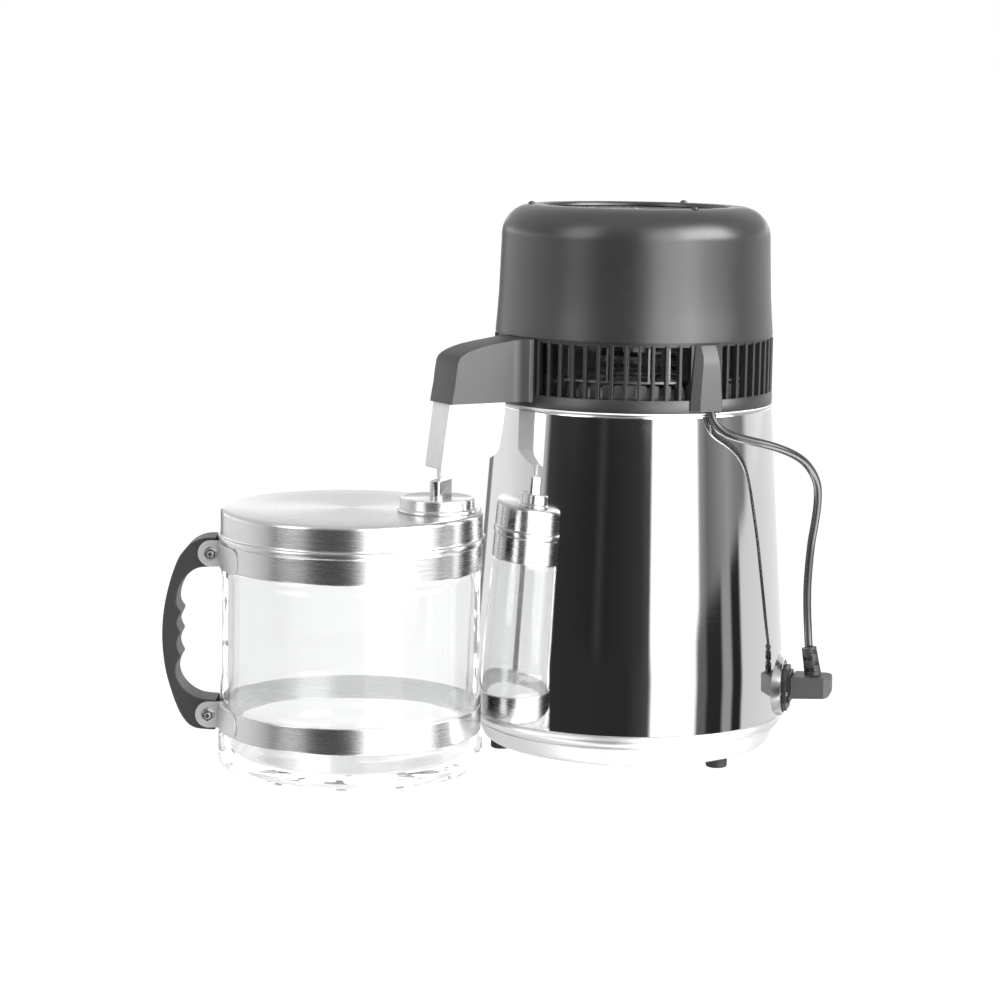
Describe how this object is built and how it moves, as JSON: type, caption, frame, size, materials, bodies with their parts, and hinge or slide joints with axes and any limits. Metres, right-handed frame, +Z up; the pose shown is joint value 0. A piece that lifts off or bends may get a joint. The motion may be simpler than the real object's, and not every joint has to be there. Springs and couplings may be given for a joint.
{
  "type": "countertop water distiller",
  "caption": "Countertop water distiller: polished boiler with a fan head, a drip spout and a plug-in lead, over a lidded glass jar with a handle.",
  "frame": {"origin": "middle of the bounding box at counter height, measured without the lead and its plug", "axes": "+Z up, +X from the jar to the boiler, +Y to the rear, the spout points to -X"},
  "size_m": [0.4339, 0.2106, 0.3661],
  "materials": {
    "polished_steel": "mirror polished stainless steel",
    "brushed_steel": "fine brushed stainless steel",
    "satin_steel": "satin stainless steel strip",
    "satin_aluminium": "satin aluminium",
    "zinc_steel": "zinc plated steel",
    "dark_steel": "heat darkened sheath",
    "nickel": "nickel plated contacts",
    "black_plastic": "fine matt black moulding",
    "grip_plastic": "finely grained black moulding",
    "red_plastic": "glossy red",
    "white_plastic": "off white",
    "nozzle_plastic": "white satin moulding",
    "wire_red": "silicone wire sleeve",
    "black_screw": "blackened screw heads",
    "rubber": "soft black rubber",
    "cord_rubber": "smooth black cord sheath",
    "silicone": "white silicone",
    "clear_glass": "clear glass"
  },
  "bodies": {
    "boiler": {"outer_shell": "polished_steel", "bead_ring": "brushed_steel", "base_cup": "satin_aluminium", "rubber_feet": "rubber", "foot_screws": "zinc_steel", "inner_tank": "brushed_steel", "heat_plate": "satin_aluminium", "heater_element": "dark_steel", "thermostat": "zinc_steel", "thermal_cutout": "zinc_steel", "terminal_block": "white_plastic", "inner_wires": "wire_red", "outlet_socket": "black_plastic", "socket_screws": "zinc_steel", "mains_inlet": "black_plastic", "inlet_pins": "nickel", "inlet_screws": "zinc_steel", "reset_bushing": "black_plastic", "reset_spring": "zinc_steel"},
    "reset": {"reset_button": "red_plastic"},
    "head": {"tank_gasket": "silicone", "steam_plate": "brushed_steel", "louver_ring": "black_plastic", "condenser_rim": "satin_aluminium", "condenser_fins": "satin_aluminium", "condenser_coil": "brushed_steel", "dome_cover": "black_plastic", "fan_guard": "black_plastic", "guard_screws": "black_screw", "motor_bracket": "zinc_steel", "fan_motor": "zinc_steel", "spout_hood": "black_plastic", "nozzle": "nozzle_plastic", "drip_tip": "nozzle_plastic", "cable_tab": "black_plastic", "cable_gland": "cord_rubber", "fan_lead": "cord_rubber"},
    "fan": {"fan_impeller": "black_plastic"},
    "plug": {"plug_relief": "cord_rubber", "plug_body": "cord_rubber", "plug_pins": "nickel"},
    "jar": {"jar_glass": "clear_glass", "upper_band": "brushed_steel", "lower_band": "brushed_steel", "upper_brackets": "satin_steel", "lower_brackets": "satin_steel", "handle": "grip_plastic", "handle_bolts": "zinc_steel", "handle_nuts": "zinc_steel"},
    "jar_lid": {"lid": "brushed_steel", "lid_seal": "silicone"},
    "jar_cap": {"cap": "brushed_steel", "cap_knob": "polished_steel"}
  },
  "joints": [
    {"name": "head_lift", "type": "slide", "parent": "boiler", "child": "head", "axis": [0, 0, 1], "range_m": [0, 0.04], "deforming": ["fan_lead"]},
    {"name": "fan_spin", "type": "hinge", "parent": "head", "child": "fan", "pos_m": [0.102, 0, 0.335], "axis": [0, 0, 1], "continuous": true},
    {"name": "plug_pull", "type": "slide", "parent": "boiler", "child": "plug", "axis": [0.8387, -0.5446, 0], "range_m": [0, 0.018], "deforming": ["fan_lead"]},
    {"name": "jar_slide", "type": "slide", "parent": "boiler", "child": "jar", "axis": [-1, 0, 0], "range_m": [0, 0.2]},
    {"name": "lid_turn", "type": "hinge", "parent": "jar", "child": "jar_lid", "pos_m": [-0.093, 0, 0.16], "axis": [0, 0, 1], "continuous": true},
    {"name": "cap_turn", "type": "hinge", "parent": "jar_lid", "child": "jar_cap", "pos_m": [-0.04483, -0.02952, 0.17], "axis": [0, 0, 1], "continuous": true},
    {"name": "reset_press", "type": "slide", "parent": "boiler", "child": "reset", "axis": [-0.7071, -0.7071, 0], "range_m": [0, 0.002], "stiffness_N_per_m": 400, "springref_m": -0.001}
  ]
}
